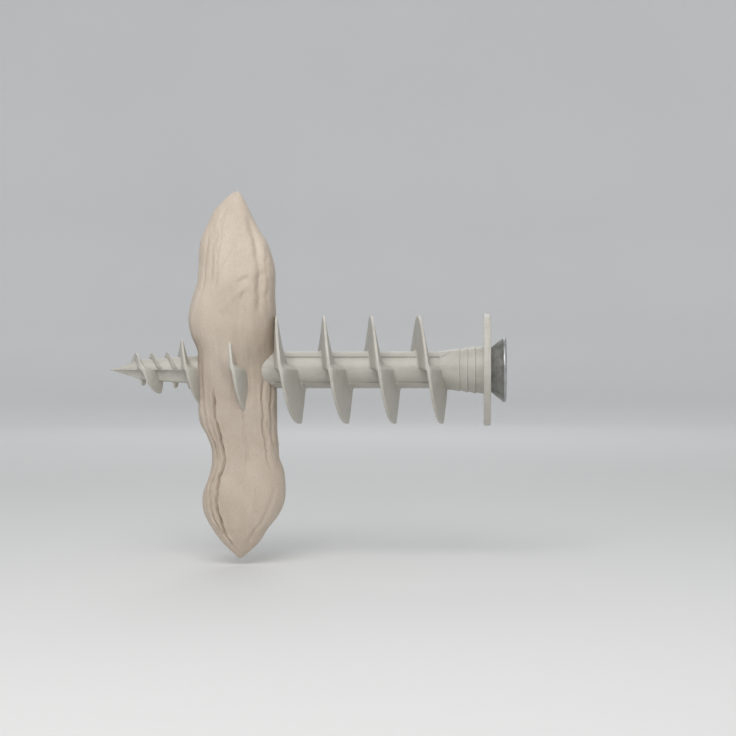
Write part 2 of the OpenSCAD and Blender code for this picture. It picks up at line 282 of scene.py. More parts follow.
def face_turn(a, r, share, side):
    """Angle whose place along the axis a blade's face takes; side -1 faces the point and 1 the flange.

    The mould parts at z = 0. Where a face would lean over on its way to that plane, the moulding is
    filled straight along Z, and the step that this leaves at the plane is eased.
    """
    base = 180 * math.floor(a / 180)
    b = math.radians(a - base)
    hidden = math.degrees(math.asin(clamp(share) * math.sin(b)))
    height = r * math.cos(b) / min(1.0, r / BARREL_R)
    if side < 0:
        return mix(a, max(A_START, base + hidden), smooth((height + 0.6) / 1.1))
    return mix(a, min(A_STOP, base + 180 - hidden), smooth((1.35 - height) / 1.45))


def blade_section(top, a, base, embed, rim, thick, fillet):
    """A blade's cross-section at angle a: filleted foot, tapered faces and a rim with eased edges.

    thick holds the half thickness at the foot towards the point and towards the flange, and at the rim.
    """
    back_foot, front_foot, edge = thick
    tall = max(0.12, rim - base)
    fillet = min(fillet, 0.35 * tall)
    edge = min(edge, 0.45 * tall)
    bevel = min(0.13, 0.6 * edge)
    crown = rim - bevel

    def flank(side):
        foot = back_foot if side < 0 else front_foot
        rows = [(foot + fillet, embed)]
        for t in (0, 18, 36, 54, 72, 90):
            c, n = math.cos(math.radians(t)), math.sin(math.radians(t))
            rows.append((foot + fillet * (1 - n), base + fillet * (1 - c)))
        low = base + fillet
        for t in (0.14, 0.28, 0.42, 0.56, 0.7, 0.85, 1.0):
            rows.append((mix(foot, edge, t**1.4), mix(low, crown, t)))
        for t in (22, 45, 68, 90):
            c, n = math.cos(math.radians(t)), math.sin(math.radians(t))
            rows.append((edge - bevel * (1 - c), crown + 0.8 * bevel * n))
        out = []
        for u, r in rows:
            # The end under the anchor is cut off flat, just past the plane y = 0
            turn = a
            if a > 170 and r > 4.3:
                stop = 180 + math.degrees(math.asin(0.75 / r))
                turn = 170 + (a - 170) * (stop - 170) / (A_STOP - 170)
            x = top + LEAD * face_turn(turn, r, r / rim, side) / 360
            # The filled undercuts have a little draft, so they narrow towards the parting plane
            draft = 0.6 * clamp(1 - r / rim) * clamp(1 - abs(r * math.cos(math.radians(turn))) / BARREL_R)
            out.append(around(x + side * (u - draft), r, turn))
        return out

    front, back = flank(1), flank(-1)
    tip = np.array(front[-1]) + np.array(back[-1])
    crest = np.array(around(0, rim, a if a <= 170 else 170 + (a - 170) * 0.66))
    crest[0] = tip[0] / 2
    if a > 170:
        scale = rim / math.hypot(tip[1] / 2, tip[2] / 2)
        crest[1], crest[2] = tip[1] / 2 * scale, tip[2] / 2 * scale
    return front + [tuple(crest)] + back[::-1]


def end_steps(start, stop, step):
    """Angles from start to stop, close together at both ends."""
    ends = [0, 0.12, 0.3, 0.6, 1.0, 1.5, 2.1, 2.8, 3.6, 4.6, 6.0]
    inner = np.arange(start + 8, stop - 7, step)
    return [start + e for e in ends] + list(inner) + [stop - e for e in reversed(ends)]


def flight(i):
    top = flight_x(i) + (0.3 if i == FLIGHTS else 0.0)
    rings = []
    for a in end_steps(A_START, A_STOP, 1.8):
        x = top + LEAD * a / 360
        base = form_radius(x, a)
        rim = flight_radius(x)
        grown = clamp((rim - FIRST_R) / (FLIGHT_R - FIRST_R))
        # The corner at each end is rounded, and the cut end itself is slightly eased
        gap = math.radians(min(a - A_START, A_STOP - a)) * rim
        corner = min(0.7, 0.3 * (rim - base) + 0.1)
        if gap < corner:
            rim -= corner - math.sqrt(max(0.0, corner**2 - (corner - gap) ** 2))
        thin = 1 - 0.35 * (1 - clamp(gap / 0.25)) ** 2
        thick = [mix(0.2, 0.55, grown), mix(0.6, 1.0, grown), mix(0.2, 0.31, grown)]
        on_nose = x < SHOULDER_X
        embed = 0.45 * nose_radius(x) if on_nose else 3.0
        rings.append(
            blade_section(
                top,
                a,
                base,
                embed,
                max(base + 0.12, rim),
                [t * thin for t in thick],
                0.1 if on_nose else 0.6,
            )
        )
    return loft(f"flight_blade_{i}", [rings], 40)


def ridge(name, top, stubs):
    """A low cutting ridge over the top of the nose, with a short stub under it at each angle in stubs."""
    islands = []
    for a1, a2 in [(-28, 90)] + [(a - 11, a + 11) for a in stubs]:
        stub = a2 - a1 < 30
        rings = []
        for a in np.linspace(a1, a2, 15) if stub else end_steps(a1, a2, 3.0):
            base = nose_radius(top + LEAD * a / 360)
            gap = math.radians(min(a - a1, a2 - a)) * (base + 1)
            lift = 1.35 * clamp((top + LEAD * a / 360 + 89) / 4.5)
            if stub:
                lift *= 0.55 + 0.45 * math.sqrt(1 - (1 - clamp(gap / 0.65)) ** 2)
            else:
                lift *= 0.35 + 0.65 * smooth(gap / 0.9)
            rim = base + lift
            ring = []
            rows = [(0.44, base - 0.6), (0.36, base + 0.02), (0.26, base + 0.3 * lift)]
            rows += [(0.18, base + 0.7 * lift), (0.12, base + 0.94 * lift)]
            for side in (1, -1):
                flank = []
                for u, r in rows:
                    turn = a if stub else mix(a, face_turn(a, r, r / rim, side), 0.3)
                    flank.append(around(top + LEAD * turn / 360 + side * u, max(0.1, r), a))
                if side > 0:
                    ring = flank + [around(top + LEAD * a / 360, rim, a)]
                else:
                    ring += flank[::-1]
            rings.append(ring)
        islands.append(rings)
    return loft(name, islands, 40)


# ---------------------------------------------------------------- moulded pieces

flange = lathe(
    "flange_disc",
    densify(
        rounded(
            [
                (NECK_R, -FLANGE_T, 0),
                (FLANGE_R, -FLANGE_T, 0.25),
                (FLANGE_R, -0.72, 0.15),
                (FLANGE_R - 0.14, 0, 0.3),
                (NECK_R, 0, 0),
            ],
            0.3,
            6,
        ),
        1.2,
    ),
    192,
)


def collar():
    """Cone with saw-tooth rings and the screw seat, hexagon and bore inside."""
    rings = []
    for k in range(3):
        r, x = RING_R - RING_GROWTH * (2 - k), RING_X - RING_STEP * (2 - k)
        rings += [(r, x, 0.07), (r - 0.3, x + 0.02, 0.1)]
    outer = rounded(
        [(BARREL_R, COLLAR_X, 0)]
        + [(BARREL_R + 0.02, COLLAR_X + 0.8, 2.0)]
        + rings
        + [(NECK_R, -FLANGE_T - 0.12, 0.1), (NECK_R, 0, 0.0)],
        0.1,
        4,
    )
    mouth = BORE_R - NECK_X * CONE
    inner = [(mouth, 0.0), (mix(mouth, BORE_R, 0.35), 0.35 * NECK_X)]
    # Radius 0 stands for the seat's cone, the bore or the hexagon, whichever is widest there
    hexagon_end = (HEXAGON_X + 0.02, HEXAGON_X, HEXAGON_X - 0.02)
    inner += [(0, x) for x in (-2.0, -2.4, -2.8, -3.19, -6.0) + hexagon_end]
    inner += [(BORE_R, COLLAR_X)]
    seg = 240
    out = []
    for j in range(seg):
        a = 360 * j / seg
        ring = [around(x, r, a) for r, x in outer]
        fold = math.radians((a % 60) - 30)
        hexagon = HEXAGON_R / math.cos(fold)
        for r, x in inner:
            if r == 0:
                r = max(BORE_R, BORE_R + (x - NECK_X) * CONE)
                if x >= HEXAGON_X:
                    r = max(r, hexagon)
            ring.append(around(x, r, a))
        out.append(ring)
    return loft("seat_collar", [out], 30, wrap=True)


def rib(name, sign):
    """A raised rail along the barrel, round outside and ledged at both sides."""
    rings = []
    for x in list(np.linspace(BARREL_X - 0.05, COLLAR_X, 60)) + list(np.linspace(COLLAR_X + 0.2, -8.2, 20)):
        # Along the collar the ledges rise and fade out
        t = clamp((x - COLLAR_X) / 3.1)
        outer = form_radius(x, 0) + 0.06 * min(1.0, 8 * t) - 0.1 * t
        ledge = mix(LEDGE_Z, 0.95 * outer, smooth(t))
        reach = math.degrees(math.acos(ledge / outer))
        arc = [
            (outer * math.sin(math.radians(u)), outer * math.cos(math.radians(u)))
            for u in np.linspace(-reach, reach, 25)
        ]
        foot = arc[-1][0] - 0.35
        loop = [(p[0], p[1], 0.12 if i in (0, len(arc) - 1) else 0) for i, p in enumerate(arc)]
        loop += [(foot, ledge, 0), (foot - 0.3, ledge - 0.25, 0)]
        loop += [(0.3 - foot, ledge - 0.25, 0), (-foot, ledge, 0)]
        rings.append([(x, sign * y, sign * z) for y, z in rounded(loop, 0.1, 4)])
    return loft(name, [rings], 35)


barrel = lathe(
    "barrel_tube",
    densify(
        [(BORE_R, BARREL_X), (CORE_R, BARREL_X), (CORE_R, COLLAR_X), (BORE_R, COLLAR_X)], 2.0
    ),
)


def dome():
    """Round shoulder that runs on into the barrel's core, and into its two ribs above and below."""
    line = [SHOULDER_X + DOME_L * (1 - math.cos(t)) for t in np.linspace(0, math.pi / 2, 14)]
    line += list(np.linspace(-53.5, BARREL_X, 18))
    rings = []
    for j in range(180):
        a = 2.0 * j
        beside = smooth((math.degrees(math.asin(abs(math.sin(math.radians(a))))) - 41) / 6)
        ring = [around(SHOULDER_X, CHANNEL_R, a)]
        for x in line:
            sink = (BARREL_R - CORE_R) * beside * smooth((x - BARREL_X) / 2.2 + 1)
            ring.append(around(x, shoulder_radius(x) - sink, a))
        for r, x in ((BORE_R, BARREL_X), (BORE_R, BORE_END_X), (CHANNEL_R, FUNNEL_X)):
            ring.append(around(x, r, a))
        rings.append(ring)
    return loft("barrel_dome", [rings], 35, wrap=True)


moulding = [
    (flange, "flange_plate"),
    (collar(), "ringed_collar"),
    (barrel, "barrel_core"),
    (rib("barrel_rail_upper", 1), "barrel_rib_upper"),
    (rib("barrel_rail_lower", -1), "barrel_rib_lower"),
    (dome(), "barrel_shoulder"),
    (nose_piece("fluted_nose", NOSE_X, SHOULDER_X, OUTLET_X - CHANNEL_R), "nose_barrel"),
    (nose_piece("point_cone", -LENGTH, NOSE_X), "drill_point"),
    (ridge("nose_ridge_1", GROWTH_X + 0.37 * LEAD, [180]), "cutting_ridge_1"),
    (ridge("nose_ridge_2", GROWTH_X + 0.69 * LEAD, [-180, 180]), "cutting_ridge_2"),
]
moulding += [(flight(i), f"flight_{i}") for i in range(1, FLIGHTS + 1)]

# ---------------------------------------------------------------- the screw


def lobes(a):
    """Radius of the six-lobe drive recess at angle a."""
    f = math.radians(abs((a % 60) - 30) - 30)
    off_centre = LOBE_AT * math.sin(f)
    if abs(off_centre) >= LOBE_R:
        return DRIVE_R
    return max(DRIVE_R, LOBE_AT * math.cos(f) + math.sqrt(LOBE_R**2 - off_centre**2))


def screw_head():
    outer = rounded(
        [
            (THREAD_R, NECK_X, 0),
            (HEAD_R - 0.03, RIM_X, 0.3),
            (HEAD_R - 0.08, HEAD_X - 0.22, 0.3),
            (HEAD_R - 0.75, HEAD_X, 0.9),
            (3.2, HEAD_X, 0),
        ],
        0.2,
        6,
    )
    seg = 288
    rings = []
    for r, x in [(1.2, NECK_X)] + outer:
        rings.append([around(x, r, 360 * j / seg) for j in range(seg)])
    # The recess has an eased mouth and straight walls
    walls = ((0.22, 0.0), (0.1, -0.03), (0.03, -0.1), (0.0, -0.22), (0.0, -1.2), (-0.02, -2.2))
    for grow, x in walls:
        rings.append(
            [around(HEAD_X + x, lobes(360 * j / seg) + grow, 360 * j / seg) for j in range(seg)]
        )
    # The recess ends in the cone of the drill that opened it
    for share, x in ((0.9, -2.42), (0.5, -2.9), (0.12, -3.35)):
        rings.append(
            [around(HEAD_X + x, share * lobes(360 * j / seg), 360 * j / seg) for j in range(seg)]
        )
    return loft("countersunk_head", [rings], 30, fan=True)


def screw_thread():
    x1 = SCREW_X + 4.2
    turns = math.floor((NECK_X - 3.6 - x1) / PITCH)
    rings = []
    count = turns * 40
    for j in range(count + 1):
        t = j / count
        a = 360 * turns * t
        x = x1 + PITCH * turns * t
        ease = clamp(min(t * turns, (1 - t) * turns) * 1.5)
        crest = mix(ROOT_R + 0.08, THREAD_R, ease)
        half = [(0.56, ROOT_R - 0.08), (0.46, ROOT_R + 0.03), (0.28, mix(ROOT_R, crest, 0.45))]
        half += [(0.12, mix(ROOT_R, crest, 0.92))]
        ring = half + [(0.0, crest)] + [(-u, r) for u, r in reversed(half)]
        rings.append([around(x + u, r, a) for u, r in ring])
    return loft("thread_form", [rings], 40)


shank = spindle(
    "screw_shaft",
    [(0, SCREW_X), (0.1, SCREW_X), (0.3, SCREW_X + 0.3), (0.85, SCREW_X + 1.7)]
    + [(1.4, SCREW_X + 2.9), (ROOT_R, SCREW_X + 3.6)]
    + [(ROOT_R, x) for x in np.linspace(SCREW_X + 5, NECK_X - 3.2, 24)]
    + [(ROOT_R + 0.1, NECK_X - 2.8), (THREAD_R - 0.08, NECK_X - 2.1), (THREAD_R, NECK_X - 1.9)]
    + [(THREAD_R, NECK_X), (0, NECK_X)],
    96,
)
screw = [(screw_head(), "screw_head"), (shank, "screw_shank"), (screw_thread(), "screw_thread")]

# ---------------------------------------------------------------- the adhesive plug

FIFTH_X = flight_x(5)
PLUG_LOW, PLUG_HIGH = -44.4, 42.2
# Outlines at the side the anchor points to and at the flange's side: (z, x) in mm
PLUG_BACK = [
    (-44.4, -59.6), (-43.2, -60.9), (-41.2, -62.9), (-38.8, -64.8), (-36.0, -66.6), (-33.1, -67.8),
    (-30.7, -68.0), (-28.1, -67.6), (-25.5, -66.6), (-22.4, -65.8), (-19.6, -65.7), (-16.3, -66.6),
    (-12.2, -68.6), (-7.0, -68.9), (-1.6, -68.9), (3.7, -68.9), (8.4, -70.6), (11.9, -71.2),
    (16.7, -70.4), (19.6, -69.4), (23.6, -68.9), (29.7, -68.6), (32.2, -67.8), (34.8, -66.6),
    (37.7, -65.2), (39.7, -63.3), (41.6, -61.2), (42.2, -60.0),
]
PLUG_FRONT = [
    (-44.4, -58.9), (-43.3, -57.4), (-41.0, -55.0), (-37.4, -52.6), (-34.6, -50.4), (-32.0, -49.1),
    (-28.9, -48.6), (-25.9, -48.7), (-23.5, -49.1), (-21.1, -50.0), (-17.4, -50.3), (-14.1, -50.6),
    (-6.3, -50.6), (3.5, -50.7), (13.1, -50.9), (18.1, -51.1), (22.4, -51.0), (24.9, -51.3),
    (27.8, -52.1), (30.6, -53.2), (32.8, -54.6), (37.1, -56.8), (39.6, -58.0), (41.3, -58.9),
    (42.2, -59.7),
]
# Half thickness: (z, mm)
PLUG_THICK = [
    (-44.4, 0.25), (-43.4, 1.3), (-41.2, 2.8), (-37.0, 4.6), (-31.0, 5.9), (-24.0, 6.2), (-16.0, 6.3),
    (-9.8, 6.66), (-0.2, 7.6), (5.8, 8.6), (9.3, 8.8), (13.2, 8.4), (21.4, 7.2), (28.3, 6.2), (34.0, 4.8),
    (38.6, 3.1), (41.0, 1.7), (42.2, 0.25),
]


def curve(rows, z):
    """Smooth monotone curve through (z, value) rows at each z."""
    zs, vs = np.array(rows, float).T
    h, d = np.diff(zs), np.diff(vs) / np.diff(zs)
    m = np.concatenate([[d[0]], (d[:-1] + d[1:]) / 2, [d[-1]]])
    flat = np.r_[False, d[:-1] * d[1:] <= 0, False]
    m[flat] = 0
    k = np.clip(np.searchsorted(zs, z) - 1, 0, len(h) - 1)
    t = (z - zs[k]) / h[k]
    t2, t3 = t * t, t * t * t
    return (
        (2 * t3 - 3 * t2 + 1) * vs[k]
        + (t3 - 2 * t2 + t) * h[k] * m[k]
        + (3 * t2 - 2 * t3) * vs[k + 1]
        + (t3 - t2) * h[k] * m[k + 1]
    )


def lattice_noise(p, seed):
    """Smooth noise from -1 to 1 at points p, from a seeded lattice."""
    grid = np.random.default_rng(seed).uniform(-1, 1, (24, 24, 24))
    i = np.floor(p).astype(int)
    f = p - i
    f = f * f * (3 - 2 * f)
    total = np.zeros(len(p))
    for dx in (0, 1):
        for dy in (0, 1):
            for dz in (0, 1):
                w = (
                    (f[:, 0] if dx else 1 - f[:, 0])
                    * (f[:, 1] if dy else 1 - f[:, 1])
                    * (f[:, 2] if dz else 1 - f[:, 2])
                )
                total += w * grid[(i[:, 0] + dx) % 24, (i[:, 1] + dy) % 24, (i[:, 2] + dz) % 24]
    return total


def fractal(p, seed, octaves=4):
    total, size = np.zeros(len(p)), 1.0
    for k in range(octaves):
        total += size * lattice_noise(p * 2.0**k + 7.3 * k, seed + k)
        size *= 0.5
    return total / 1.9


# Creases that the adhesive left as it flowed: (depth in mm, width in mm, (x, z) along the crease)
NEAR_CREASES = [
    (0.66, 0.78, [(-56.7, 35.9), (-55.4, 32.1), (-54.5, 28.6), (-53.9, 25.4), (-53.6, 21.3),
                  (-53.6, 17.0), (-53.9, 13.6)]),
    (0.20, 0.36, [(-52.9, 29.1), (-52.3, 25.0), (-52.1, 19.6), (-52.2, 13.3)]),
    (0.26, 0.34, [(-61.3, 39.4), (-62.4, 36.9), (-63.1, 33.8), (-64.6, 29.2), (-65.0, 24.2),
                  (-64.6, 19.8)]),
    (0.28, 0.26, [(-62.2, 36.2), (-62.9, 31.1), (-63.4, 26.0), (-63.6, 21.8)]),
    (0.24, 0.30, [(-65.8, 31.0), (-66.5, 27.0), (-66.6, 22.0), (-67.4, 17.0)]),
    (0.26, 0.40, [(-59.3, 30.2), (-59.7, 27.2), (-61.2, 25.4), (-62.9, 23.1), (-63.8, 20.6),
                  (-64.1, 18.6)]),
    (0.34, 0.42, [(-56.6, 21.4), (-57.4, 20.8), (-58.2, 20.4)]),
    (0.16, 0.60, [(-58.2, 12.2), (-57.9, 15.4), (-57.2, 17.6)]),
    (-0.24, 0.70, [(-61.8, 13.8), (-59.7, 16.7), (-58.0, 18.0), (-56.4, 19.2)]),
    (0.60, 0.34, [(-67.5, 1.0), (-67.4, -4.0), (-67.2, -9.0), (-66.6, -13.0)]),
    (1.00, 0.28, [(-64.4, -5.0), (-64.2, -10.2), (-63.1, -15.2), (-62.0, -18.5), (-62.0, -22.2),
                  (-63.3, -26.1), (-64.0, -29.8), (-63.4, -33.4), (-62.3, -38.1), (-60.3, -41.4)]),
    (0.72, 0.25, [(-66.6, -9.9), (-66.1, -13.5), (-65.0, -15.9), (-63.8, -19.2), (-63.8, -22.5),
                  (-65.3, -26.8), (-65.8, -30.1), (-65.1, -33.4), (-63.0, -37.7)]),
    (0.30, 0.34, [(-57.4, -9.0), (-57.2, -15.2), (-56.6, -18.5), (-56.5, -23.5)]),
    (0.16, 0.45, [(-59.6, 14.0), (-60.6, 8.0), (-61.0, 2.0), (-60.6, -4.0)]),
    (0.46, 0.30, [(-53.2, -2.6), (-52.9, -13.6), (-52.3, -18.5), (-51.6, -22.2)]),
    (0.62, 0.24, [(-51.5, -2.3), (-51.4, -13.6), (-50.7, -18.5), (-49.9, -22.0)]),
    (0.22, 0.50, [(-50.6, -27.0), (-51.0, -31.0), (-52.9, -34.6), (-55.6, -38.4), (-57.6, -41.9)]),
]
FAR_CREASES = [
    (0.50, 0.48, [(-64.5, 36.0), (-65.6, 29.0), (-65.0, 22.0), (-66.2, 15.0), (-65.4, 9.0)]),
    (0.30, 0.42, [(-61.5, 38.0), (-62.2, 31.0), (-61.4, 25.0), (-62.6, 18.0)]),
    (0.34, 0.50, [(-55.6, 33.0), (-54.2, 27.0), (-54.6, 20.0), (-53.6, 13.0)]),
    (0.24, 0.55, [(-58.4, 27.0), (-57.6, 21.0), (-58.6, 16.0)]),
    (-0.26, 0.80, [(-63.0, 12.0), (-60.0, 14.5), (-57.0, 15.5)]),
    (0.55, 0.42, [(-54.4, -6.0), (-54.2, -13.0), (-55.4, -20.0), (-54.4, -27.0), (-54.8, -34.0),
                  (-57.0, -40.0)]),
    (0.36, 0.38, [(-52.2, -8.0), (-52.4, -16.0), (-51.4, -23.0), (-50.6, -29.0)]),
    (0.40, 0.40, [(-65.8, -6.0), (-65.2, -14.0), (-63.9, -20.0), (-65.0, -27.0), (-64.6, -33.0)]),
    (0.24, 0.45, [(-59.8, -8.0), (-60.4, -16.0), (-59.6, -24.0)]),
]


def crease_depth(x, z, creases):
    """Height change at points (x, z) from the creases, each fading at its two ends."""
    total = np.zeros(len(x))
    for order, (depth, width, path) in enumerate(creases):
        path = sorted(path, key=lambda p: p[1])
        line_x, line_z = np.array(path, float).T
        if line_z[-1] - line_z[0] < 6:
            # A short slanting fold: distance to its straight lines
            best = np.full(len(x), 1e9)
            for (xa, za), (xb, zb) in zip(path[:-1], path[1:]):
                dx, dz = xb - xa, zb - za
                t = np.clip(((x - xa) * dx + (z - za) * dz) / (dx * dx + dz * dz), 0, 1)
                best = np.minimum(best, np.hypot(x - xa - t * dx, z - za - t * dz))
            total -= depth * np.exp(-((best / width) ** 2))
            continue
        at = np.interp(z, line_z, line_x)
        for shift in (-1.2, 1.2):
            at = at + np.interp(z + shift, line_z, line_x)
        at /= 3
        # It wanders a little, and runs deeper in some places than in others
        at += 0.13 * np.sin(0.9 * z + 2.1 * order) + 0.07 * np.sin(2.3 * z + 3.7 * order)
        fade = np.clip((z - line_z[0] + 1.5) / 4, 0, 1) * np.clip((line_z[-1] + 1.5 - z) / 4, 0, 1)
        fade = fade * fade * (3 - 2 * fade) * (0.82 + 0.18 * np.sin(0.7 * z + 1.3 * order))
        off = (x - at) / width
        total -= depth * fade * np.exp(-(off**2))
        # A soft swelling on each side of the crease
        total += 0.3 * depth * fade * np.exp(-(((abs(off) - 2.1) / 1.3) ** 2))
    return total


def plug():
    levels, count = 330, 300
    t = np.linspace(0, 1, levels)
    s = 0.5 - 0.5 * np.cos(np.pi * (0.02 + 0.96 * t))
    s = (s - s[0]) / (s[-1] - s[0])
    z = PLUG_LOW + (PLUG_HIGH - PLUG_LOW) * s
    back, front, thick = curve(PLUG_BACK, z), curve(PLUG_FRONT, z), curve(PLUG_THICK, z)
    mid = (back + front) / 2
    mid = np.clip(PLUG_X, back + 0.3 * (front - back), back + 0.7 * (front - back)) * 0.6 + mid * 0.4
    a = np.linspace(0, 2 * np.pi, count, endpoint=False)
    ca, sa = np.cos(a), np.sin(a)
    waist = np.exp(-((z / 8.0) ** 2))
    p_front = 2 / (2.35 + (1.5 - 2.35) * waist)
    p_back = 2 / (2.35 + (2.7 - 2.35) * waist)
    power = np.where(ca[None, :] < 0, p_back[:, None], p_front[:, None])
    reach = np.where(ca[None, :] < 0, (mid - back)[:, None], (front - mid)[:, None])
    x = mid[:, None] + reach * np.sign(ca) * np.abs(ca)[None, :] ** power
    y = -thick[:, None] * np.sign(sa) * np.abs(sa)[None, :] ** power
    p = np.stack([x, y, np.repeat(z[:, None], count, 1)], -1)
    du = np.roll(p, -1, 1) - np.roll(p, 1, 1)
    dv = np.gradient(p, axis=0)
    n = np.cross(du, dv)
    n /= np.maximum(1e-9, np.linalg.norm(n, axis=-1, keepdims=True))
    centre = np.stack([mid, np.zeros(levels), z], -1)[:, None, :]
    n *= np.sign(np.sum(n * (p - centre), -1, keepdims=True) + 1e-12)
    q = p.reshape(-1, 3)
    facing = np.abs(n[..., 1]).reshape(-1)
    near = (q[:, 1] < 0).astype(float)
    creases = near * crease_depth(q[:, 0], q[:, 2], NEAR_CREASES)
    creases += (1 - near) * crease_depth(q[:, 0], q[:, 2], FAR_CREASES)
    # Long flow ridges, slow swellings and a fine drag texture
    edge = np.minimum(q[:, 0] - np.repeat(back, count), np.repeat(front, count) - q[:, 0])
    bend = q[:, 0] - 0.55 * np.repeat(back + front, count)
    ridges = fractal(np.stack([bend * 0.62, q[:, 1] * 0.5, q[:, 2] * 0.055], -1) + 11, 5, 3)
    swell = fractal(q * 0.11 + 5, 17, 2)
    drag = fractal(np.stack([bend * 1.9, q[:, 1] * 1.9, q[:, 2] * 0.32], -1) + 3, 31, 2)
    lumps = fractal(q * 0.55 + 2, 43, 3)
    ends = np.clip((q[:, 2] - PLUG_LOW) / 5, 0, 1) * np.clip((PLUG_HIGH - q[:, 2]) / 5, 0, 1)
    inside = np.clip(edge / 1.5, 0, 1)
    move = creases * np.clip(facing * 2.2 - 0.05, 0, 1)
    # The adhesive clings to the back of flight 5 and thins out in front of it
    rim = FIFTH_X + LEAD * (90 - q[:, 2] * 4.5) / 360
    spread = np.where(q[:, 0] < rim, 2.6, 0.3)
    behind = np.exp(-(((rim - q[:, 0]) / spread) ** 2))
    tail = np.where(q[:, 2] < 1.2, 4.2, 3.2)
    move += 1.9 * near * behind * np.exp(-(((q[:, 2] - 1.2) / tail) ** 2))
    move -= 1.1 * near * np.exp(-(((q[:, 0] + 56.6) / 1.1) ** 2) - ((q[:, 2] + 3.8) / 3.6) ** 2)
    # Streaks where the plug was squeezed past the nose
    squeezed = np.exp(-(((q[:, 2] + 5) / 11) ** 2))
    streaks = fractal(np.stack([bend * 0.95, q[:, 1] * 0.4, q[:, 2] * 0.035], -1) + 19, 59, 2)
    move += 0.16 * squeezed * streaks * inside
    move += 0.16 * ridges * (0.35 + 0.65 * inside) + 0.22 * swell * inside + 0.035 * drag + 0.06 * lumps
    move *= 0.15 + 0.85 * ends
    q = q + n.reshape(-1, 3) * move[:, None]
    q[:, 2] = np.clip(q[:, 2], PLUG_LOW, PLUG_HIGH)
    # Inside the barrel the adhesive ends short of the screw's point
    within = np.clip((3.9 - np.hypot(q[:, 1], q[:, 2])) / 0.8, 0, 1) * (q[:, 0] > PLUG_X)
    q[:, 0] -= 1.5 * within
    rings = [[tuple(v) for v in row] for row in q.reshape(levels, count, 3)]
    return loft("adhesive_cast", [rings], 60, fan=True)


cast = plug()

# ---------------------------------------------------------------- materials


class Nodes:
    """Small helper around one material's node tree."""

    def __init__(self, name):
        self.mat = bpy.data.materials.new(name)
        self.mat.use_nodes = True
        self.tree = self.mat.node_tree
        self.shader = self.tree.nodes["Principled BSDF"]
        self.coords = self.tree.nodes.new("ShaderNodeTexCoord").outputs["Object"]

    def add(self, kind, **values):
        node = self.tree.nodes.new(kind)
        for key, value in values.items():
            if key in node.inputs:
                node.inputs[key].default_value = value
            else:
                setattr(node, key, value)
        return node

    def link(self, a, b):
        self.tree.links.new(a, b)

    def place(self, scale=(1, 1, 1), rotation=(0, 0, 0)):
        node = self.add("ShaderNodeMapping")
        node.inputs["Scale"].default_value = scale
        node.inputs["Rotation"].default_value = rotation
        self.link(self.coords, node.inputs["Vector"])
        return node.outputs["Vector"]

    def noise(self, scale, detail=4.0, rough=0.55, vector=None, distortion=0.0):
        node = self.add("ShaderNodeTexNoise", Scale=scale, Detail=detail, Roughness=rough)
        node.inputs["Distortion"].default_value = distortion
        self.link(vector or self.coords, node.inputs["Vector"])
        return node.outputs["Fac"]

    def ramp(self, value, stops):
        node = self.add("ShaderNodeValToRGB")
        while len(node.color_ramp.elements) < len(stops):
            node.color_ramp.elements.new(0.5)
        for element, (at, colour) in zip(node.color_ramp.elements, stops):
            element.position = at
            element.color = (*colour, 1) if isinstance(colour, tuple) else (colour,) * 3 + (1,)
        self.link(value, node.inputs["Fac"])
        return node.outputs["Color"]

    def blend(self, a, b, factor, mode="MIX"):
        node = self.add("ShaderNodeMix", data_type="RGBA", blend_type=mode)
        for socket, value in ((6, a), (7, b), (0, factor)):
            if hasattr(value, "is_linked"):
                self.link(value, node.inputs[socket])
            elif isinstance(value, tuple):
                node.inputs[socket].default_value = (*value, 1)
            else:
                node.inputs[socket].default_value = value
        return node.outputs[2]

    def span(self, value, low, high, from_low=0.0, from_high=1.0):
        node = self.add("ShaderNodeMapRange")
        limits = {"From Min": from_low, "From Max": from_high, "To Min": low, "To Max": high}
        for key, number in limits.items():
            node.inputs[key].default_value = number
        self.link(value, node.inputs["Value"])
        return node.outputs["Result"]

    def bump(self, heights):
        """Chain of bumps from (height socket, strength, distance in metres)."""
        last = None
        for height, strength, distance in heights:
            node = self.add("ShaderNodeBump", Strength=strength, Distance=distance)
            self.link(height, node.inputs["Height"])
            if last:
                self.link(last, node.inputs["Normal"])
            last = node.outputs["Normal"]
        self.link(last, self.shader.inputs["Normal"])

    def set(self, **values):
        for key, value in values.items():
            self.shader.inputs[key.replace("_", " ")].default_value = value

    def socket(self, name):
        return self.shader.inputs[name]


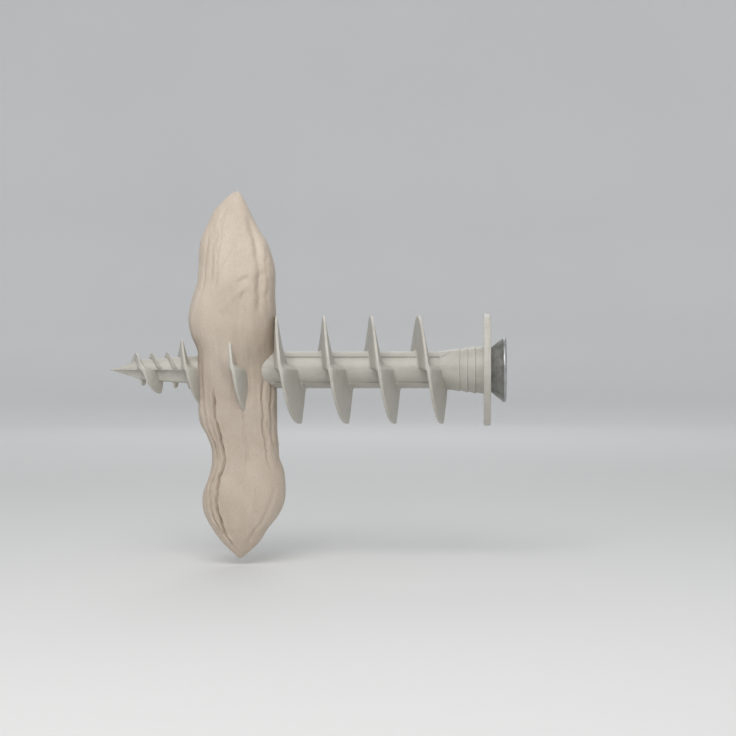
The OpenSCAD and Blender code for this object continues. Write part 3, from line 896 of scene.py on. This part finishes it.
def nylon():
    """Moulded glass-filled nylon: warm grey with flow clouds, fine fibres and a satin skin."""
    m = Nodes("moulded_nylon")
    clouds = m.noise(160, 4, 0.6, distortion=0.6)
    streaks = m.noise(520, 5, 0.6, m.place((0.22, 1, 1)))
    fibres = m.noise(2600, 3, 0.7, m.place((0.16, 1, 1), (0.2, 0.1, 0.4)))
    specks = m.add("ShaderNodeTexVoronoi", Scale=1900.0)
    m.link(m.coords, specks.inputs["Vector"])
    greys = [(0.28, (0.49, 0.468, 0.418)), (0.52, (0.54, 0.518, 0.466)), (0.76, (0.58, 0.558, 0.505))]
    base = m.ramp(clouds, greys)
    tone = m.ramp(streaks, [(0.3, (0.86, 0.86, 0.85)), (0.65, (1.0, 1.0, 1.0))])
    grain = m.ramp(fibres, [(0.35, (0.9, 0.9, 0.9)), (0.6, (1.0, 1.0, 1.0))])
    speck = m.ramp(specks.outputs["Distance"], [(0.05, (0.82, 0.8, 0.77)), (0.16, (1.0, 1.0, 1.0))])
    colour = m.blend(base, tone, 0.55, "MULTIPLY")
    colour = m.blend(colour, grain, 0.5, "MULTIPLY")
    colour = m.blend(colour, speck, 0.35, "MULTIPLY")
    m.link(colour, m.socket("Base Color"))
    m.link(m.span(streaks, 0.36, 0.56, 0.3, 0.7), m.socket("Roughness"))
    m.bump([(clouds, 0.12, 0.0004), (streaks, 0.22, 0.00012), (fibres, 0.3, 0.00004)])
    m.set(IOR=1.53, Subsurface_Weight=0.12, Subsurface_Scale=0.0012)
    m.socket("Subsurface Radius").default_value = (1.0, 0.9, 0.75)
    return m.mat


def zinc_steel():
    """Dull zinc plate over turned steel: fine lathe lines, cloudy plating and small dark pits."""
    m = Nodes("zinc_plated_steel")
    split = m.add("ShaderNodeSeparateXYZ")
    m.link(m.coords, split.inputs["Vector"])
    radius = m.add("ShaderNodeVectorMath", operation="LENGTH")
    flat = m.add("ShaderNodeCombineXYZ")
    m.link(split.outputs["Y"], flat.inputs["Y"])
    m.link(split.outputs["Z"], flat.inputs["Z"])
    m.link(flat.outputs["Vector"], radius.inputs[0])
    lines_at = m.add("ShaderNodeCombineXYZ")
    m.link(radius.outputs["Value"], lines_at.inputs["X"])
    m.link(split.outputs["X"], lines_at.inputs["Y"])
    lines = m.noise(5200, 3, 0.7, lines_at.outputs["Vector"])
    clouds = m.noise(380, 6, 0.66, distortion=0.6)
    pits = m.noise(1900, 4, 0.62)
    plating = [(0.32, (0.48, 0.49, 0.495)), (0.5, (0.64, 0.648, 0.65)), (0.68, (0.80, 0.805, 0.80))]
    base = m.ramp(clouds, plating)
    dark = m.ramp(pits, [(0.30, (0.55, 0.55, 0.55)), (0.42, (1.0, 1.0, 1.0))])
    turned = m.ramp(lines, [(0.3, (0.84, 0.84, 0.84)), (0.7, (1.0, 1.0, 1.0))])
    colour = m.blend(m.blend(base, dark, 0.6, "MULTIPLY"), turned, 0.6, "MULTIPLY")
    # Painted shade: the colour of the head's rolled rim is darkened, so that the rim reflects less light
    # than its cone
    painted_rim_shade = m.ramp(m.span(radius.outputs["Value"], 0, 1, 0.0073, 0.0077), [(0, 1.0), (1, 0.68)])
    colour = m.blend(colour, painted_rim_shade, 1.0, "MULTIPLY")
    m.link(colour, m.socket("Base Color"))
    m.link(m.span(clouds, 0.32, 0.48, 0.3, 0.75), m.socket("Roughness"))
    m.bump([(lines, 0.25, 0.00003), (pits, 0.2, 0.00003)])
    m.set(Metallic=1.0)
    return m.mat


def set_adhesive():
    """Set two-part adhesive: beige, chalky in places, with filler grains, small pores, drag lines and
    painted light and shade by height.
    """
    m = Nodes("set_adhesive")
    clouds = m.noise(70, 4, 0.55, distortion=0.8)
    streaks = m.noise(420, 5, 0.6, m.place((1, 1, 0.12)))
    filler = m.noise(2300, 4, 0.65)
    pores = m.add("ShaderNodeTexVoronoi", Scale=1150.0)
    m.link(m.coords, pores.inputs["Vector"])
    few = m.noise(300, 2, 0.5)
    beiges = [(0.25, (0.575, 0.48, 0.388)), (0.5, (0.645, 0.55, 0.455)), (0.78, (0.71, 0.618, 0.52))]
    base = m.ramp(clouds, beiges)
    tone = m.ramp(streaks, [(0.3, (0.90, 0.885, 0.87)), (0.66, (1.0, 1.0, 1.0))])
    grain = m.ramp(filler, [(0.34, (0.86, 0.84, 0.82)), (0.56, (1.0, 1.0, 1.0))])
    pore = m.ramp(pores.outputs["Distance"], [(0.06, 0.0), (0.2, 1.0)])
    chance = m.ramp(few, [(0.56, 1.0), (0.64, 0.0)])
    holes = m.blend(pore, (1.0, 1.0, 1.0), chance)
    # Painted light and shade by height: paler on the free upper lobe, darker under it and around the middle
    split = m.add("ShaderNodeSeparateXYZ")
    m.link(m.coords, split.inputs["Vector"])
    level = m.span(split.outputs["Z"], 0, 1, -0.045, 0.043)
    low_half = [(0.0, 0.97), (0.22, 0.905), (0.38, 0.815), (0.56, 0.825)]
    high_half = [(0.75, 0.955), (0.9, 1.0), (1.0, 0.93)]
    painted_light_by_height = m.ramp(level, low_half + high_half)
    colour = m.blend(base, tone, 0.6, "MULTIPLY")
    colour = m.blend(colour, painted_light_by_height, 1.0, "MULTIPLY")
    colour = m.blend(colour, grain, 0.5, "MULTIPLY")
    colour = m.blend(colour, holes, 0.3, "MULTIPLY")
    m.link(colour, m.socket("Base Color"))
    m.link(m.span(streaks, 0.52, 0.74, 0.3, 0.7), m.socket("Roughness"))
    m.bump([(streaks, 0.28, 0.00016), (filler, 0.22, 0.00007), (holes, 0.4, 0.0001)])
    m.set(IOR=1.5, Subsurface_Weight=0.1, Subsurface_Scale=0.0015)
    m.socket("Subsurface Radius").default_value = (1.0, 0.7, 0.45)
    return m.mat


def studio_floor():
    """Matt pale floor with very soft clouds."""
    m = Nodes("studio_floor")
    soft = m.ramp(m.noise(3.0, 2, 0.5), [(0.3, (0.97, 0.97, 0.97)), (0.7, (1.0, 1.0, 1.0))])
    # Paler towards the sweep, so that the far wall doesn't fall into grey
    away = m.add("ShaderNodeVectorMath", operation="LENGTH")
    m.link(m.coords, away.inputs[0])
    reach = m.span(away.outputs["Value"], 0, 1, 0.3, 1.3)
    pale = m.ramp(reach, [(0, (0.72, 0.72, 0.71)), (1, (0.93, 0.93, 0.925))])
    m.link(m.blend(soft, pale, 1.0, "MULTIPLY"), m.socket("Base Color"))
    m.set(Roughness=0.85)
    return m.mat


def dress(piece, node, body, material):
    """Give a piece its material and its body, and hide the CAD node that it stands for."""
    piece.data.materials.clear()
    piece.data.materials.append(material)
    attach(piece, body)
    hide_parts(node)


nylon_skin, steel_skin, plug_skin = nylon(), zinc_steel(), set_adhesive()
for piece, node in moulding:
    dress(piece, node, "anchor", nylon_skin)
for piece, node in screw:
    dress(piece, node, "screw", steel_skin)
dress(cast, "adhesive_plug", "anchor", plug_skin)

# ---------------------------------------------------------------- studio


def studio():
    """A pale round floor that sweeps up far away, with soft lights over it."""
    floor_z = -46.0
    sweep = [(400, 0), (900, 0), (1150, 20), (1350, 90), (1480, 230), (1540, 420), (1560, 900)]
    seg = 96
    turns = [2 * math.pi * j / seg for j in range(seg)]
    verts, faces = [(0, 0, floor_z)], []
    for r, h in sweep:
        verts += [(r * math.cos(t), r * math.sin(t), floor_z + h) for t in turns]
    for j in range(seg):
        k = (j + 1) % seg
        faces.append((0, 1 + j, 1 + k))
        for ring in range(len(sweep) - 1):
            a, b = 1 + ring * seg, 1 + (ring + 1) * seg
            faces.append((a + j, b + j, b + k, a + k))
    mesh = bpy.data.meshes.new("studio_floor")
    mesh.from_pydata([tuple(c * MM for c in v) for v in verts], [], faces)
    mesh.shade_smooth()
    floor = bpy.data.objects.new("studio_floor", mesh)
    bpy.context.scene.collection.objects.link(floor)
    mesh.materials.append(studio_floor())


def area_light(name, place, aim, size, power, colour=(1, 1, 1)):
    data = bpy.data.lights.new(name, "AREA")
    data.shape = "DISK"
    data.size = size
    data.energy = power
    data.color = colour
    light = bpy.data.objects.new(name, data)
    light.location = place
    light.visible_camera = False
    towards = Vector(aim) - Vector(place)
    light.rotation_euler = towards.to_track_quat("-Z", "Y").to_euler()
    bpy.context.scene.collection.objects.link(light)


studio()
middle = (-0.045, 0.0, 0.0)
area_light("key_light", (-0.06, -0.28, 0.27), middle, 0.30, 0.84, (1.0, 0.99, 0.97))
area_light("fill_light", (0.10, -0.80, 0.10), middle, 0.8, 0.5, (0.97, 0.98, 1.0))
area_light("rim_light", (-0.10, 0.70, 0.50), middle, 0.5, 0.9)

world = bpy.data.worlds.new("studio_world")
world.use_nodes = True
world.node_tree.nodes["Background"].inputs["Color"].default_value = (0.95, 0.97, 1.0, 1)
world.node_tree.nodes["Background"].inputs["Strength"].default_value = 0.56
bpy.context.scene.world = world
bpy.context.scene.view_settings.view_transform = "Standard"

camera_data = bpy.data.cameras.new("camera")
camera_data.sensor_width = 36.0
camera_data.lens = 68.5
camera_data.shift_x = -0.159
camera_data.shift_y = 0.003
camera_data.clip_start = 0.01
camera = bpy.data.objects.new("camera", camera_data)
camera.location = (-0.0014, -0.331, -0.0001)
camera.rotation_euler = (math.radians(90), 0, 0)
bpy.context.scene.collection.objects.link(camera)
bpy.context.scene.camera = camera
